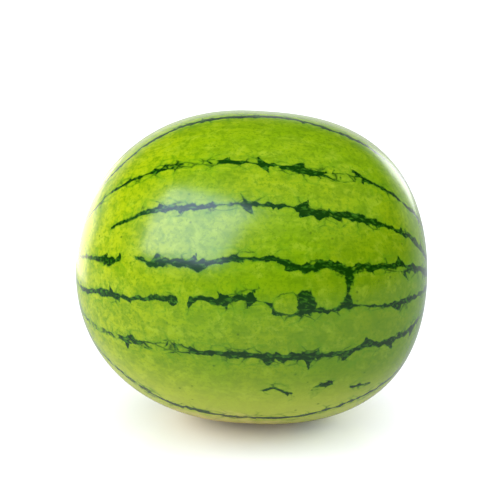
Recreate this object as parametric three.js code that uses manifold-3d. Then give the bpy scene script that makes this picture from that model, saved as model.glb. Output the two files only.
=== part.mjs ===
// A whole watermelon lying on its side, with the short dry stub of its stalk still on.
// Units are millimetres. +Z is up, and +X runs along the fruit, from the stalk end to the blossom end.
// The origin is on the surface that the fruit rests on, under the middle of its outline.
//
// Each piece is first made straight, with its axis of growth along X through the origin. Then both
// ends are swung back, the blossom end is lowered, and the fruit is set down on its rest spot.

import * as THREE from "three";
import { mergeVertices } from "three/addons/utils/BufferGeometryUtils.js";
import Module from "manifold-3d";

// Driving dimensions of the fruit.
const LENGTH = 248; // from one end to the other, before the ends are swung back
const GIRTH = 229; // diameter across the middle
const STALK_END_FULLNESS = 2.2; // exponent of the rounded outline: 2 is an ellipse, and more is blunter
const BLOSSOM_END_FULLNESS = 2.6;
const STALK_DIMPLE = { depth: 6, reach: 16 }; // hollow round the stalk, and how far from its middle it spreads
const BLOSSOM_DIMPLE = { depth: 2.5, reach: 11 };
const END_SWING = THREE.MathUtils.degToRad(10); // the back grew less than the front, so each end leans back
const BLOSSOM_END_DROP = THREE.MathUtils.degToRad(3.6); // the fruit lies with this end a little lower
const REST_SPOT_DEPTH = 1.5; // how much of the round underside the rest spot takes away

// Driving dimensions of the stalk's stub.
const STUB_LENGTH = 7.5; // from the floor of the dimple to the cut
const STUB_FOOT_RADIUS = 6; // where it spreads onto the fruit
const STUB_WAIST_RADIUS = 3.4;
const STUB_CUT_RADIUS = 3.9;
const STUB_RIBS = 5;
const STUB_RIB_HEIGHT = 0.08; // share of the radius
const STUB_RIB_RISE = 3.75; // how far above the foot the ribs reach their full height
const STUB_CHAMFER = 0.6;
const STUB_TAPER = 2.5; // how far below the cut the waist is pulled in
const STUB_FLARE = 1.9; // how far above the foot it starts to spread
const SEAM = 0.3; // clearance between the stub's foot and the fruit

// Fineness of the faceted surfaces.
const STEPS_AROUND = 60;
const STEPS_BETWEEN_DIMPLES = 30;
const DIMPLE_RINGS = 6; // rings of facets across each dimple, from its middle outwards
const STUB_STEPS_AROUND = 20;
const STUB_STEPS_ALONG_WAIST = 5;
const STUB_FOOT_RINGS = 2;
const RING_SPACING = STUB_FOOT_RADIUS / STUB_FOOT_RINGS; // shared, so that both sides of the seam run parallel

const SAME_POINT = 0.001; // vertices closer than this are one
const QUARTER_TURN = Math.PI / 2;

const skin = new THREE.MeshStandardMaterial({ color: 0x8bae14, roughness: 0.4, metalness: 0 });
const dryStalk = new THREE.MeshStandardMaterial({ color: 0x8a7a4a, roughness: 0.85, metalness: 0 });

const wasm = await Module();
wasm.setup();

/** How far a dimple lowers the skin at this distance from its middle. */
function sunken(dimple, radius) {
  return dimple.depth * Math.exp(-((radius / dimple.reach) ** 2));
}

/** How far along the axis one half of the fruit reaches at this distance from the axis. */
function halfReach(radius, fullness, dimple) {
  const share = (1 - (radius / (GIRTH / 2)) ** fullness) ** (1 / fullness);
  return (LENGTH / 2) * share - sunken(dimple, radius);
}

/** Outline of one half of the fruit, from its pole to its widest ring, as distance from the axis and reach. */
function halfOutline(fullness, dimple) {
  const outline = [];
  for (let ring = 0; ring < DIMPLE_RINGS; ring++) {
    const radius = ring * RING_SPACING;
    outline.push(new THREE.Vector2(radius, halfReach(radius, fullness, dimple)));
  }
  const rim = Math.asin(((DIMPLE_RINGS * RING_SPACING) / (GIRTH / 2)) ** (fullness / 2));
  const steps = STEPS_BETWEEN_DIMPLES / 2;
  for (let step = 0; step <= steps; step++) {
    const turn = THREE.MathUtils.lerp(rim, QUARTER_TURN, step / steps);
    const radius = (GIRTH / 2) * Math.min(Math.sin(turn), 1) ** (2 / fullness);
    outline.push(new THREE.Vector2(radius, halfReach(radius, fullness, dimple)));
  }
  return outline;
}

/** Place along the axis of the skin round the stalk, at this distance from the axis. */
function stalkEndSkin(radius) {
  return -halfReach(radius, STALK_END_FULLNESS, STALK_DIMPLE);
}

/** A closed solid of revolution about X, from an outline that starts and ends on the axis. */
function turned(outline, stepsAround) {
  return new THREE.LatheGeometry(outline, stepsAround).rotateZ(-QUARTER_TURN);
}

/** The straight fruit, before it lies down. */
function straightFruit() {
  const stalkHalf = halfOutline(STALK_END_FULLNESS, STALK_DIMPLE).map((point) => point.setY(-point.y));
  const blossomHalf = halfOutline(BLOSSOM_END_FULLNESS, BLOSSOM_DIMPLE).reverse();
  return turned([...stalkHalf, ...blossomHalf.slice(1)], STEPS_AROUND);
}

/** The straight stub: a spreading foot on the dimple's floor, a waist, and a flat cut with a worn edge. */
function straightStub() {
  const floor = stalkEndSkin(0);
  const tip = floor - STUB_LENGTH;
  const footTop = stalkEndSkin(STUB_FOOT_RADIUS) - SEAM;
  const outline = [
    new THREE.Vector2(0, tip),
    new THREE.Vector2(STUB_CUT_RADIUS - STUB_CHAMFER, tip),
    new THREE.Vector2(STUB_CUT_RADIUS, tip + STUB_CHAMFER),
  ];
  const flare = new THREE.CubicBezierCurve(
    new THREE.Vector2(STUB_CUT_RADIUS, tip + STUB_CHAMFER),
    new THREE.Vector2(STUB_WAIST_RADIUS, tip + STUB_TAPER),
    new THREE.Vector2(STUB_WAIST_RADIUS, footTop - STUB_FLARE),
    new THREE.Vector2(STUB_FOOT_RADIUS, footTop - STUB_CHAMFER),
  );
  outline.push(...flare.getPoints(STUB_STEPS_ALONG_WAIST).slice(1));
  for (let ring = STUB_FOOT_RINGS; ring >= 0; ring--) {
    const radius = ring * RING_SPACING;
    outline.push(new THREE.Vector2(radius, stalkEndSkin(radius) - SEAM));
  }
  return ribbed(turned(outline, STUB_STEPS_AROUND), footTop - STUB_CHAMFER);
}

/** Raises shallow ribs round the stub, which die away at its foot so that the seam stays even. */
function ribbed(geometry, ribEnd) {
  const places = geometry.getAttribute("position");
  const point = new THREE.Vector3();
  for (let i = 0; i < places.count; i++) {
    point.fromBufferAttribute(places, i);
    const strength = THREE.MathUtils.smoothstep(ribEnd - point.x, 0, STUB_RIB_RISE);
    const rib = 1 + STUB_RIB_HEIGHT * strength * Math.cos(STUB_RIBS * Math.atan2(point.z, point.y));
    places.setXYZ(i, point.x, point.y * rib, point.z * rib);
  }
  return geometry;
}

/** Bends straight geometry about an upright line behind the fruit, which swings both ends back. */
function swungBack(geometry) {
  const bendRadius = LENGTH / 2 / END_SWING;
  const places = geometry.getAttribute("position");
  for (let i = 0; i < places.count; i++) {
    const angle = places.getX(i) / bendRadius;
    const arm = bendRadius - places.getY(i);
    places.setXY(i, arm * Math.sin(angle), bendRadius - arm * Math.cos(angle));
  }
  return geometry;
}

/** The solid of a closed geometry whose shared vertices are merged. */
function solidOf(geometry) {
  const bare = geometry.clone().deleteAttribute("normal").deleteAttribute("uv");
  const merged = mergeVertices(bare, SAME_POINT);
  return new wasm.Manifold(
    new wasm.Mesh({
      numProp: 3,
      vertProperties: merged.getAttribute("position").array,
      triVerts: new Uint32Array(merged.index.array),
    }),
  );
}

/** The geometry of a solid, with flat faces. */
function geometryOf(solid) {
  const mesh = solid.getMesh();
  const geometry = new THREE.BufferGeometry();
  geometry.setAttribute("position", new THREE.BufferAttribute(mesh.vertProperties, 3));
  geometry.setIndex(new THREE.BufferAttribute(mesh.triVerts, 1));
  geometry.computeVertexNormals();
  return geometry;
}

/** Cuts away what lies below the surface that the fruit rests on, which leaves a flat rest spot. */
function withRestSpot(geometry) {
  const side = 2 * LENGTH;
  const room = new THREE.BoxGeometry(side, side, side).translate(0, 0, side / 2);
  return geometryOf(solidOf(geometry).intersect(solidOf(room)));
}

const fruit = swungBack(straightFruit()).rotateY(BLOSSOM_END_DROP);
const stub = swungBack(straightStub()).rotateY(BLOSSOM_END_DROP);

fruit.computeBoundingBox();
stub.computeBoundingBox();
const outlineBox = fruit.boundingBox.clone().union(stub.boundingBox);
const middle = outlineBox.getCenter(new THREE.Vector3());
const setDown = [-middle.x, -middle.y, -outlineBox.min.z - REST_SPOT_DEPTH];

const watermelonBody = new THREE.Mesh(withRestSpot(fruit.translate(...setDown)), skin);
watermelonBody.name = "watermelon_body";

const stalkStub = new THREE.Mesh(stub.translate(...setDown), dryStalk);
stalkStub.name = "stalk_stub";

const watermelon = new THREE.Group();
watermelon.add(watermelonBody, stalkStub);

export default watermelon;
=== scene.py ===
"""Looks of a whole watermelon that lies on its side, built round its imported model.

Lengths are metres, and a length followed by MM was chosen in millimetres. +X runs along the fruit from
the stalk end to the blossom end, and +Z is up. Each piece is first made straight, about an axis of
growth that lies along X through the origin, and is then bent, tilted and set down as the fruit lies.
Round the fruit, 0 degrees is the side that faces -Y and 90 degrees is the top.
"""

import logging
import math
from dataclasses import dataclass
from enum import Enum
from functools import partial
from typing import Any

import bmesh
import bpy
import numpy as np
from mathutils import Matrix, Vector


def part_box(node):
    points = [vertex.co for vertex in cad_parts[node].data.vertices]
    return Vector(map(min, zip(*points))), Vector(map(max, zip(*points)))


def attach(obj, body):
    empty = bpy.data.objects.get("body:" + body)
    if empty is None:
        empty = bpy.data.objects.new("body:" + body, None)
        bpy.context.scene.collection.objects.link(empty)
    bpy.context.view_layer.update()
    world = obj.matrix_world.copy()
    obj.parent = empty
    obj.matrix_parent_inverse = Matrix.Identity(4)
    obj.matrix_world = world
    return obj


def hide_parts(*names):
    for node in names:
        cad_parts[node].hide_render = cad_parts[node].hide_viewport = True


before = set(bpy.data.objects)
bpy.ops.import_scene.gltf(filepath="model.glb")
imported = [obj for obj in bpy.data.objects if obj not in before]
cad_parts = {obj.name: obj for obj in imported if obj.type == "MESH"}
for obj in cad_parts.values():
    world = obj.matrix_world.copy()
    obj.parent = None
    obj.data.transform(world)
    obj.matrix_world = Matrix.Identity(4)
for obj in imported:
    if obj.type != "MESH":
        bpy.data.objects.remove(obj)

Tree = bpy.types.NodeTree
Socket = bpy.types.NodeSocket

MM = 0.001
FULL_TURN = 2 * math.pi
BODY = "root"
WORKED_PER_KEPT = 20  # points of an outline that are worked out for each one that is kept
OUT_OF_REACH = 9.0  # mm, so far from an edge that nothing of it shows
COOL_WHITE = "#edf1ff"
WARM_WHITE = "#fff3dc"

log = logging.getLogger("watermelon")


class Slot(Enum):
    """Material slots of the record."""

    SKIN = "skin"
    DRY_STALK = "dry_stalk"


class Layer(Enum):
    """Values that the fruit's skin carries at each vertex for its material."""

    # The vertex's place on the straight fruit, in metres.
    GROWN = "grown"
    # Sine and cosine of its place between the nearest stripe's line and the next, and their spacing in mm.
    PHASE = "stripe_phase"
    # How far that stripe reaches above and below its line in mm, and its netting.
    EDGES = "stripe_edges"
    # How far it is from a light lobe, half the width of that lobe's rim, and how far from a dark blob, in mm.
    PATCHES = "stripe_patches"


@dataclass(frozen=True)
class Dimple:
    """The hollow at one end of the fruit.

    Attributes:
        depth: How far the middle is sunk.
        reach: How far from the middle the hollow spreads.
    """

    depth: float
    reach: float

    def sunken(self, radius: np.ndarray) -> np.ndarray:
        """How far the skin is lowered at these distances from the middle."""
        return self.depth * np.exp(-((radius / self.reach) ** 2))


@dataclass(frozen=True)
class Half:
    """One half of the straight fruit, from its widest ring to its pole.

    Attributes:
        towards: The end that it makes, as -1 for the stalk and 1 for the blossom.
        fullness: Exponent of its rounded outline. 2 is an ellipse, and more is blunter.
        dimple: The hollow round its pole.
    """

    towards: int
    fullness: float
    dimple: Dimple


@dataclass(frozen=True)
class Growth:
    """The shape of the straight fruit, a solid of revolution about X."""

    length: float = 248 * MM
    girth: float = 229 * MM
    stalk_half: Half = Half(-1, 2.2, Dimple(6 * MM, 16 * MM))
    blossom_half: Half = Half(1, 2.6, Dimple(2.5 * MM, 11 * MM))

    def skin(self, half: Half, radius: np.ndarray) -> np.ndarray:
        """Places along the axis of the skin of one half, at these distances from the axis."""
        share = (1 - (radius / (self.girth / 2)) ** half.fullness) ** (1 / half.fullness)
        return half.towards * (self.length / 2 * share - half.dimple.sunken(radius))

    def outline(self, rings: int) -> list[Vector]:
        """Points of the outline from the stalk's pole to the blossom's, evenly spaced along the skin.

        Args:
            rings: Number of points.

        Returns:
            The points, in the plane of X and Z.
        """
        turn = np.linspace(0, math.pi / 2, WORKED_PER_KEPT * rings)
        places, radii = [], []
        for half in (self.stalk_half, self.blossom_half):
            radius = self.girth / 2 * np.minimum(np.sin(turn), 1) ** (2 / half.fullness)
            place = self.skin(half, radius)
            order = -half.towards
            places.append(place[::order])
            radii.append(radius[::order])
        place, radius = np.concatenate(places), np.concatenate(radii)
        along = np.concatenate([[0], np.cumsum(np.hypot(np.diff(place), np.diff(radius)))])
        even = np.linspace(0, along[-1], rings)
        kept = zip(np.interp(even, along, place), np.interp(even, along, radius))
        return [Vector((x, 0, z)) for x, z in kept]


@dataclass(frozen=True)
class Lie:
    """How the straight fruit is bent, tilted and set down.

    Attributes:
        growth: The straight fruit.
        end_swing: How far each end leans back, because the back of the fruit grew less than its front.
        blossom_drop: How much lower the fruit lies at its blossom end.
        rest: Where the middle of the straight fruit is carried to.
        ground: Height of the surface that the fruit rests on.
    """

    growth: Growth
    end_swing: float = math.radians(10)
    blossom_drop: float = math.radians(3.6)
    rest: tuple[float, float, float] = (0.0, 0.0, 0.0)
    ground: float = -math.inf

    def laid(self, points: np.ndarray) -> np.ndarray:
        """Carries points of the straight fruit to where they lie.

        Args:
            points: One row of X, Y and Z for each point.

        Returns:
            The same rows, bent about an upright line behind the fruit, tilted and set down.
        """
        bend_radius = self.growth.length / 2 / self.end_swing
        angle = points[:, 0] / bend_radius
        arm = bend_radius - points[:, 1]
        x, y, z = arm * np.sin(angle), bend_radius - arm * np.cos(angle), points[:, 2]
        cos, sin = math.cos(self.blossom_drop), math.sin(self.blossom_drop)
        tilted = np.stack([x * cos + z * sin, y, z * cos - x * sin], axis=1) + np.array(self.rest)
        tilted[:, 2] = np.maximum(tilted[:, 2], self.ground)
        return tilted


@dataclass(frozen=True)
class Spike:
    """A pointed spur that a stripe sends out between two rounded light lobes.

    Attributes:
        place: Where it stands along the fruit, in mm from the middle.
        height: How far it reaches from the stripe's edge, in mm. Below the stripe it is negative.
        base: Its width at the stripe, in mm.
    """

    place: float
    height: float
    base: float = 4.0


@dataclass(frozen=True)
class Stripe:
    """One dark stripe of the rind.

    Attributes:
        course: Its line from the stalk end on, as places along the fruit in mm and degrees round it.
        make: How it is made along that line, as places in mm, half its width in mm, and its netting, which
            is 0 where it is solid and 1 where many light islands break it up. A negative width is a gap.
        spikes: The spurs that stand out from it.
    """

    course: tuple[tuple[float, float], ...]
    make: tuple[tuple[float, float, float], ...]
    spikes: tuple[Spike, ...] = ()


SIDE_IN_VIEW = (
    Stripe(
        course=((-120, 60), (-104, 64), (-94, 68), (-88, 71), (-80, 75.5), (-69, 79), (-54, 82.5), (-24, 85),
                (11, 88), (29, 86), (46, 83), (63, 80.5), (81, 78.5), (91, 76.5), (120, 71)),
        make=((-110, 1.2, 0), (-60, 2, 0.5), (-20, 2.6, 0), (0, 3.2, 0), (30, 2.2, 0.5), (100, 2, 0)),
        spikes=(Spike(-36, 3), Spike(31, -6, 3), Spike(64, 3)),
    ),
    Stripe(
        course=((-120, 40), (-107, 45), (-97, 51), (-82, 53), (-55, 55.8), (-20, 56.2), (0, 56), (14, 55.3),
                (26, 54.6), (37, 53.6), (49, 53.4), (65, 55.8), (77, 54.3), (95, 51.8), (120, 50)),
        make=((-110, 0.8, 0), (-76, 1, 0), (-62, 2.2, 0.6), (-45, 3.4, 1), (-28, 3.6, 1), (-20, 1.8, 0.3),
              (-8, 1, 0), (4, 1.6, 0), (16, 1.7, 0), (24, 3.4, 0.2), (30, 2.8, 0.5), (38, 3, 0.4),
              (48, 3.4, 0.95), (62, 3.6, 0.95), (69, 1.8, 0), (74, 1.2, 0), (110, 1.3, 0)),
        spikes=(Spike(-84, 3, 3), Spike(-57, 3, 5), Spike(-48, 4.5, 4), Spike(-30, -5), Spike(-21, 2.5, 6),
                Spike(3, 6, 7), Spike(2, -6, 8), Spike(24, 5.5, 8), Spike(36, -3), Spike(48, 8.5, 3.4),
                Spike(64, -4.5), Spike(65, 6, 7), Spike(86, 2.5, 3)),
    ),
    Stripe(
        course=((-120, 30), (-89, 31), (-75, 35), (-60, 37.2), (-40, 37.6), (-24, 38.6), (0, 39.6),
                (26, 39.6), (37, 37.8), (60, 38), (75, 37), (89, 36), (99, 35), (106, 32.5), (120, 27)),
        make=((-93, -8, 0), (-89, 1.2, 0), (-74, 1.1, 0), (-62, 2.1, 0), (-45, 2.2, 0.2), (-33, 2.3, 0),
              (-24, 1.6, 0), (-12, 1.3, 0.9), (0, 1.4, 0), (8, 1.6, 0), (22, 1.6, 0), (28, 3.1, 0),
              (36, 3, 0), (44, 2.6, 0.3), (60, 3.3, 0), (72, 2.8, 0), (82, 1.3, 0), (90, 1.6, 0),
              (106, 2.2, 0), (120, 1, 0)),
        spikes=(Spike(-56, 3), Spike(-45, -4.5), Spike(-39, 4), Spike(-5, 3.5, 5.5), Spike(-7, -6.5, 9),
                Spike(10, -2), Spike(27, 6, 6), Spike(31, -8, 6), Spike(38, -4, 6), Spike(48, -3, 7),
                Spike(91, 4, 3)),
    ),
    Stripe(
        course=((-120, 14), (-106, 16), (-92, 15.8), (-84, 15.4), (-79, 18.5), (-71, 18.2), (-61, 16.4),
                (-43, 18), (-32, 17.4), (-17, 20), (0, 20.7), (13, 21.2), (19, 20.4), (24, 19), (34, 18.8),
                (41, 20.3), (48, 20), (55, 18.2), (62, 19.5), (74, 20), (89, 21), (106, 20), (120, 17)),
        make=((-112, 1, 0), (-96, 1.2, 0), (-90, 2.4, 0), (-80, 1.5, 0), (-78, -8, 0), (-73, -8, 0),
              (-70, 1, 0), (-58, 2.4, 0), (-45, 3, 0.3), (-30, 2.7, 0.3), (-22, 1.8, 0), (-14, 2.2, 0),
              (-5, 2, 0), (1, 1.1, 0), (8, 1.1, 0), (13, 2.2, 0), (20, 2.4, 0), (25, 2.8, 0), (34, 2.5, 0),
              (44, 2.8, 0), (55, 3.2, 0.3), (63, 3.4, 0.8), (70, 2.8, 0.3), (84, 2, 0), (91, 4, 0.6),
              (97, 3, 0.3), (106, 2.2, 0)),
        spikes=(Spike(-92, 5), Spike(-87, -3.5), Spike(-80, 4, 3), Spike(-56, 6, 5), Spike(-37, 7, 5.5),
                Spike(-30, -3, 6), Spike(-10, 3, 7), Spike(7, 2.5, 5), Spike(23, -4.5, 7), Spike(41, 2, 5),
                Spike(56.5, -6, 9), Spike(90, 4, 6), Spike(91, -6, 4)),
    ),
    Stripe(
        course=((-120, -9), (-106, -5), (-95, -0.5), (-83, 0.8), (-74, 1.2), (-63, 3.2), (-47, 5.2),
                (-43, 3.7), (-36, 4.4), (-30, 6.2), (-22, 5.8), (-17, 5.8), (-7, 7.7), (2, 7.2), (9, 6.5),
                (13, 4.8), (18, 3.2), (24, 3), (31, 3.7), (42, 4.5), (50, 5.4), (57, 6.4), (67, 5.6),
                (90, 4.6), (107, 6.2), (120, 8)),
        make=((-112, 0.9, 0), (-100, 1.6, 0), (-90, 2.3, 0), (-75, 1.7, 0), (-60, 1.7, 0), (-50, 1.9, 0),
              (-43, 2.3, 0), (-40.5, -8, 0), (-38, -8, 0), (-36, 1.9, 0), (-28, 1.9, 0), (-20, 2.3, 0),
              (-10, 2, 0), (-3, 2.4, 0), (2, 2.2, 0), (4.5, 0.1, 0), (9, 0.3, 0), (11, 1.6, 0), (16, 2, 0),
              (22, 1.7, 0), (28, 2.2, 0), (35, 2.4, 0), (42, 2, 0), (55, 2.4, 0), (63, 1.6, 0), (76, 1.5, 0),
              (86, 2.4, 0), (95, 2, 0), (110, 1.6, 0)),
        spikes=(Spike(-83, 5), Spike(-81, -3, 5), Spike(-73, -2.5, 3), Spike(-45, 3, 4),
                Spike(-43, -5.5, 4.5), Spike(-35, 4, 4), Spike(-36, -3.5, 4), Spike(-16, -5, 6),
                Spike(-15, 5.5, 5), Spike(-2, 6.5, 4), Spike(1, -6.5, 6.5), Spike(13, 8, 5),
                Spike(16, -5.5, 5), Spike(44, -3, 6), Spike(56, 5, 8), Spike(52, -2, 5), Spike(88, -3.5, 7)),
    ),
    Stripe(
        course=((-120, -33), (-107, -26), (-87, -20), (-72, -17.3), (-50, -15), (-31, -14), (0, -13.3),
                (20, -13.6), (40, -12.7), (61, -12.8), (66, -11.2), (71, -9.8), (78, -12), (96, -11.8),
                (108, -10), (120, -8)),
        make=((-112, 1.3, 0.8), (-92, 2.2, 1), (-80, 1.8, 0.8), (-71, 2.9, 0.5), (-60, 2.2, 0.9),
              (-48, 3.3, 1), (-37, 3.4, 0.9), (-29, 2, 0), (-18, 1.9, 0), (-8, 2.6, 0.3), (4, 2.6, 0),
              (12, 2.1, 0), (18, 3.3, 0.3), (30, 3.2, 0.4), (38, 2.6, 0), (48, 1.5, 0), (60, 1.4, 0),
              (66, 2, 0), (71, 3.6, 0), (77, 2.4, 0), (86, 2.2, 0), (97, 2, 0), (110, 1.3, 0)),
        spikes=(Spike(-71, 3.5, 5), Spike(-73, -11, 4), Spike(-58, -7.5, 3.5), Spike(-38, 6, 5),
                Spike(-41, -3), Spike(-12, 2), Spike(12, -6, 8), Spike(28, 4, 6), Spike(34, -14, 5),
                Spike(36, -6, 9), Spike(41, 3, 4), Spike(61, -7.5, 7), Spike(71, 4.5, 6), Spike(85, -9, 5),
                Spike(94, 3.5), Spike(105, -10, 4)),
    ),
    Stripe(
        course=((-120, -34), (-85, -34), (0, -31), (11, -29), (18, -28), (24, -30), (30, -31.5), (40, -28),
                (51, -26.5), (60, -31), (77, -33), (120, -26)),
        make=((5, -8, 0), (10, 0.9, 0), (20, 1.1, 0), (29, 0.8, 0), (32, -8, 0), (38, -8, 0), (42, 0.9, 0),
              (46, 1.1, 0), (50, 2.4, 0), (53, 1.1, 0), (56, -8, 0), (62, -8, 0), (65, 1, 0), (70, 1.8, 0),
              (78, 1, 0), (82, -8, 0)),
        spikes=(Spike(25, -4.5, 4), Spike(50, 3.5, 4), Spike(72, 3, 4)),
    ),
    Stripe(
        course=((-120, -43), (-85, -43), (-61, -47), (-47, -50), (-33, -49), (-6, -50.6), (34, -49.8),
                (53, -45.8), (72, -43), (95, -41), (120, -40)),
        make=((-112, 1.1, 0.5), (-70, 2, 0.9), (-47, 1.8, 0.4), (-28, 2.6, 0.2), (-5, 2, 0.3),
              (20, 2.1, 0), (50, 1.8, 0.4), (85, 1.4, 0)),
        spikes=(Spike(-40, -3), Spike(-24, 3), Spike(6, -3.5), Spike(38, 3), Spike(60, -3)),
    ),
)


class Patch(Enum):
    """What a rounded patch of the rind is."""

    LIGHT_LOBE = "light lobe that dark skin surrounds"
    DARK_BLOB = "dark blob where stripes run together"


@dataclass(frozen=True)
class Rounded:
    """A rounded patch between two stripes or inside one.

    Attributes:
        patch: What it is.
        place: Its middle along the fruit, in mm.
        angle: Its middle round the fruit, in degrees.
        length: Half its length along the fruit, in mm.
        height: Half its height round the fruit, in mm.
        rim: Width of the dark rim round a light lobe in mm, or 0 where it has none.
    """

    patch: Patch
    place: float
    angle: float
    length: float
    height: float
    rim: float = 0.0

    def away(self, place: np.ndarray, angle: np.ndarray, radius: np.ndarray) -> np.ndarray:
        """How far points of the skin are from its edge.

        Args:
            place: Places along the fruit, in mm.
            angle: Angles round the fruit, in degrees.
            radius: Distances from the axis, in mm.

        Returns:
            The distances in mm, which are negative inside it.
        """
        turned = (angle - self.angle + 180) % 360 - 180
        share = np.hypot((place - self.place) / self.length, np.radians(turned) * radius / self.height)
        return (share - 1) * min(self.length, self.height)


LINKED_CELLS = (
    Rounded(Patch.LIGHT_LOBE, place=20.5, angle=7, length=7.4, height=7.4, rim=0.9),
    Rounded(Patch.LIGHT_LOBE, place=44.8, angle=11.8, length=10.2, height=13),
    Rounded(Patch.LIGHT_LOBE, place=74, angle=12.2, length=15.5, height=11.5),
    Rounded(Patch.LIGHT_LOBE, place=92.5, angle=20, length=2.6, height=1.8),
    Rounded(Patch.LIGHT_LOBE, place=48, angle=-19.5, length=11, height=9.5),
    Rounded(Patch.DARK_BLOB, place=32.5, angle=7, length=7, height=9.5),
    Rounded(Patch.DARK_BLOB, place=57, angle=11.5, length=3.6, height=15),
)


@dataclass(frozen=True)
class UnseenSide:
    """The stripes of the side that is out of view, which grow at random, much like the others.

    Attributes:
        angles: Degrees round the fruit at which they run.
        bends: Places in mm at which they bend.
        bend: Spread of those bends, in degrees.
        widths: Places in mm at which their width and netting change.
        half_width: Least and greatest half width, in mm.
        fades_at: How far from the middle a stripe would have faded to nothing, in mm.
        spurs: Places in mm near which a spur stands out.
        strays: How far a spur may stand from its place, in mm.
        height: Least and greatest height of a spur, in mm.
        base: Least and greatest width of a spur at the stripe, in mm.
    """

    angles: tuple[float, ...] = (105, 126, 149, 171, 193, 214, 238, 262, 288)
    bends: range = range(-120, 121, 12)
    bend: float = 1.3
    widths: range = range(-114, 115, 7)
    half_width: tuple[float, float] = (0.9, 3.3)
    fades_at: float = 150.0
    spurs: range = range(-110, 111, 11)
    strays: float = 5.0
    height: tuple[float, float] = (2.5, 7.0)
    base: tuple[float, float] = (3.0, 7.0)

    def stripe(self, angle: float, rng: np.random.Generator) -> Stripe:
        """Grows one stripe.

        Args:
            angle: Degrees round the fruit at its middle.
            rng: Source of its random bends, widths and spurs.

        Returns:
            The stripe.
        """
        course = [(place, angle + rng.normal(0, self.bend)) for place in self.bends]
        make = []
        for place in self.widths:
            fading = 1 - (abs(place) / self.fades_at) ** 2
            make.append((place, rng.uniform(*self.half_width) * fading, max(0.0, rng.uniform(-1, 1))))
        spikes = []
        for place in self.spurs:
            height = rng.uniform(*self.height) * rng.choice((-1, 1))
            strayed = place + rng.uniform(-self.strays, self.strays)
            spikes.append(Spike(strayed, height, rng.uniform(*self.base)))
        return Stripe(tuple(course), tuple(make), tuple(spikes))


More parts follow.
